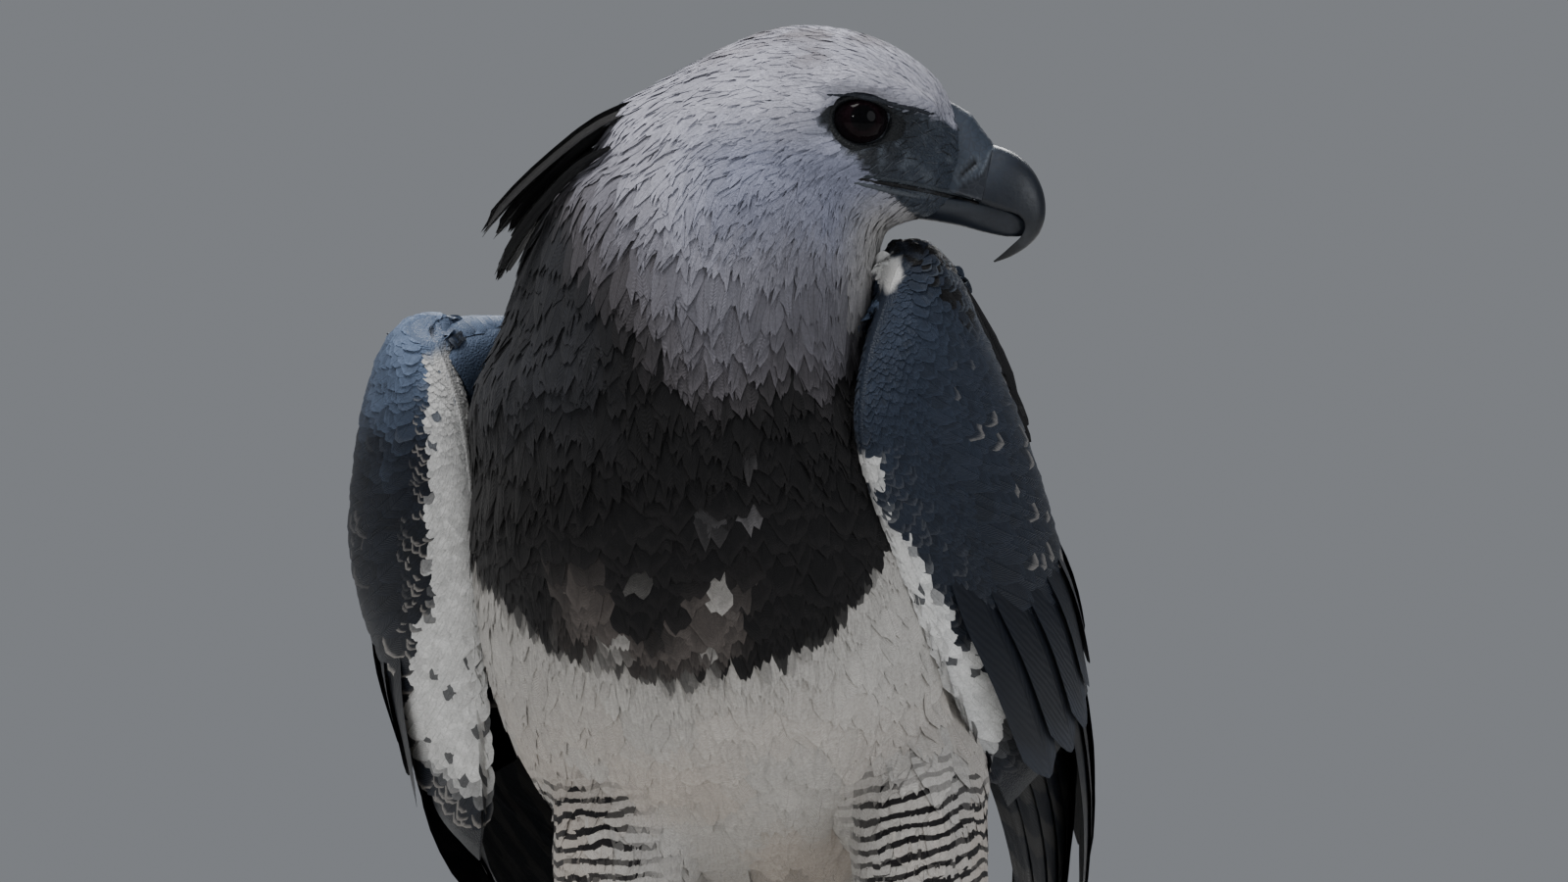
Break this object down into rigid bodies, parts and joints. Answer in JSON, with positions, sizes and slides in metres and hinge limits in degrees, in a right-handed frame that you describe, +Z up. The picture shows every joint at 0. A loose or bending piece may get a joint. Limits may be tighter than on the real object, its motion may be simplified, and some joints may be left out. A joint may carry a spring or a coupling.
{
  "type": "harpy eagle",
  "caption": "Harpy eagle standing at rest with folded wings and its head turned to its left, with a feathered crest, hooked bill, long tail and heavy clawed feet.",
  "frame": {"origin": "on the floor, under the middle of the bird's bounding box", "axes": "+Z up; the bird faces -Y, a little towards -X, with its left side at +X; the tail points to +Y"},
  "size_m": [0.3789, 0.6982, 0.5994],
  "materials": {
    "grey_feather": "soft grey feather",
    "black_feather": "black feather",
    "white_feather": "white feather",
    "slate_feather": "slate black feather",
    "bill": "smooth dark horn",
    "cere": "bare slate grey skin",
    "eye": "wet and glossy",
    "yellow_scale": "scaly yellow skin",
    "claw": "smooth black horn"
  },
  "bodies": {
    "root": {"bill_lower": "bill", "bill_upper": "bill", "cere": "cere", "claw_left_hallux": "claw", "claw_left_inner": "claw", "claw_left_middle": "claw", "claw_left_outer": "claw", "claw_right_hallux": "claw", "claw_right_inner": "claw", "claw_right_middle": "claw", "claw_right_outer": "claw", "eye_left": "eye", "eye_right": "eye", "head": "grey_feather", "neck": "grey_feather", "tail": "black_feather", "tarsus_left": "yellow_scale", "tarsus_right": "yellow_scale", "thigh_left": "white_feather", "thigh_right": "white_feather", "toe_left_hallux": "yellow_scale", "toe_left_inner": "yellow_scale", "toe_left_middle": "yellow_scale", "toe_left_outer": "yellow_scale", "toe_right_hallux": "yellow_scale", "toe_right_inner": "yellow_scale", "toe_right_middle": "yellow_scale", "toe_right_outer": "yellow_scale", "torso": "white_feather", "wing_left": "slate_feather", "wing_right": "slate_feather"}
  },
  "joints": []
}
